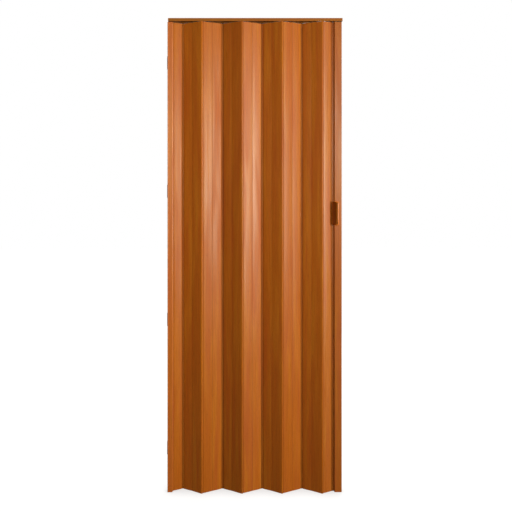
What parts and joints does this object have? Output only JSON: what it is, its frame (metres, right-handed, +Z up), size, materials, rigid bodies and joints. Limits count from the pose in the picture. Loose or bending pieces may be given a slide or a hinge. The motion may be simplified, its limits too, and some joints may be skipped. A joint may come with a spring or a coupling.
{
  "type": "folding door",
  "caption": "Hollow plastic folding door in brown wood-grain foil: hinged slats on gliders in a top track, a wall profile, and a lead profile with a recessed pull on each face.",
  "frame": {"origin": "centre of the top track's flat upper face, which is screwed up under the lintel", "axes": "+Z up along the door's height; +X along the track from the wall profile to the lead profile with the pull; +Y through the door to the rear, so the pictured front faces -Y"},
  "size_m": [0.7507, 0.0526, 2.03],
  "materials": {
    "wood_grain_foil": "satin brown wood-grain foil on hollow extruded plastic",
    "handle_plastic": "satin brown moulded plastic",
    "dark_brown_plastic": "plain dark brown moulded plastic",
    "nylon": "natural cream nylon",
    "steel": "zinc-plated steel",
    "strip_rubber": "dull black flexible magnetic strip"
  },
  "bodies": {
    "fixed_frame": {"top_track": "wood_grain_foil", "wall_profile": "wood_grain_foil", "wall_clip_1": "dark_brown_plastic", "wall_clip_2": "dark_brown_plastic", "wall_clip_3": "dark_brown_plastic", "wall_clip_4": "dark_brown_plastic"},
    "half_slat_wall": {"half_slat_wall": "wood_grain_foil", "hinge_plug_1": "dark_brown_plastic"},
    "slat_2": {"slat_2": "wood_grain_foil", "glider_2": "nylon", "hinge_plug_2": "dark_brown_plastic"},
    "slat_3": {"slat_3": "wood_grain_foil", "hinge_plug_3": "dark_brown_plastic"},
    "slat_4": {"slat_4": "wood_grain_foil", "glider_4": "nylon", "hinge_plug_4": "dark_brown_plastic"},
    "slat_5": {"slat_5": "wood_grain_foil", "hinge_plug_5": "dark_brown_plastic"},
    "slat_6": {"slat_6": "wood_grain_foil", "glider_6": "nylon", "hinge_plug_6": "dark_brown_plastic"},
    "slat_7": {"slat_7": "wood_grain_foil", "hinge_plug_7": "dark_brown_plastic"},
    "slat_8": {"slat_8": "wood_grain_foil", "glider_8": "nylon", "hinge_plug_8": "dark_brown_plastic"},
    "half_slat_lead": {"half_slat_lead": "wood_grain_foil", "hinge_plug_9": "dark_brown_plastic"},
    "lead": {"lead_profile": "wood_grain_foil", "closing_strip": "strip_rubber", "lead_hanger": "nylon", "hinge_plug_10": "dark_brown_plastic", "handle_front": "handle_plastic", "handle_rear": "handle_plastic", "handle_screw_1": "steel", "handle_screw_2": "steel"}
  },
  "joints": [
    {"name": "wall_hinge", "type": "hinge", "parent": "fixed_frame", "child": "half_slat_wall", "pos_m": [-0.35681, 0, -1.0225], "axis": [0, 0, 1], "range_deg": [0, 47.4]},
    {"name": "hinge_2", "type": "hinge", "parent": "half_slat_wall", "child": "slat_2", "pos_m": [-0.31389, 0.02149, -1.0225], "axis": [0, 0, 1], "range_deg": [-94.8, 0]},
    {"name": "hinge_3", "type": "hinge", "parent": "slat_2", "child": "slat_3", "pos_m": [-0.22805, -0.02149, -1.0225], "axis": [0, 0, 1], "range_deg": [0, 94.8]},
    {"name": "hinge_4", "type": "hinge", "parent": "slat_3", "child": "slat_4", "pos_m": [-0.14221, 0.02149, -1.0225], "axis": [0, 0, 1], "range_deg": [-94.8, 0]},
    {"name": "hinge_5", "type": "hinge", "parent": "slat_4", "child": "slat_5", "pos_m": [-0.05637, -0.02149, -1.0225], "axis": [0, 0, 1], "range_deg": [0, 94.8]},
    {"name": "hinge_6", "type": "hinge", "parent": "slat_5", "child": "slat_6", "pos_m": [0.02947, 0.02149, -1.0225], "axis": [0, 0, 1], "range_deg": [-94.8, 0]},
    {"name": "hinge_7", "type": "hinge", "parent": "slat_6", "child": "slat_7", "pos_m": [0.11531, -0.02149, -1.0225], "axis": [0, 0, 1], "range_deg": [0, 94.8]},
    {"name": "hinge_8", "type": "hinge", "parent": "slat_7", "child": "slat_8", "pos_m": [0.20115, 0.02149, -1.0225], "axis": [0, 0, 1], "range_deg": [-94.8, 0]},
    {"name": "hinge_9", "type": "hinge", "parent": "slat_8", "child": "half_slat_lead", "pos_m": [0.28699, -0.02149, -1.0225], "axis": [0, 0, 1], "range_deg": [0, 94.8]},
    {"name": "lead_hinge", "type": "hinge", "parent": "half_slat_lead", "child": "lead", "pos_m": [0.32991, 0, -1.0225], "axis": [0, 0, 1], "range_deg": [-47.4, 0]}
  ],
  "couplings": [
    {"joint": "hinge_2", "follows": "wall_hinge", "ratio": -2},
    {"joint": "hinge_3", "follows": "wall_hinge", "ratio": 2},
    {"joint": "hinge_4", "follows": "wall_hinge", "ratio": -2},
    {"joint": "hinge_5", "follows": "wall_hinge", "ratio": 2},
    {"joint": "hinge_6", "follows": "wall_hinge", "ratio": -2},
    {"joint": "hinge_7", "follows": "wall_hinge", "ratio": 2},
    {"joint": "hinge_8", "follows": "wall_hinge", "ratio": -2},
    {"joint": "hinge_9", "follows": "wall_hinge", "ratio": 2},
    {"joint": "lead_hinge", "follows": "wall_hinge", "ratio": -1}
  ]
}
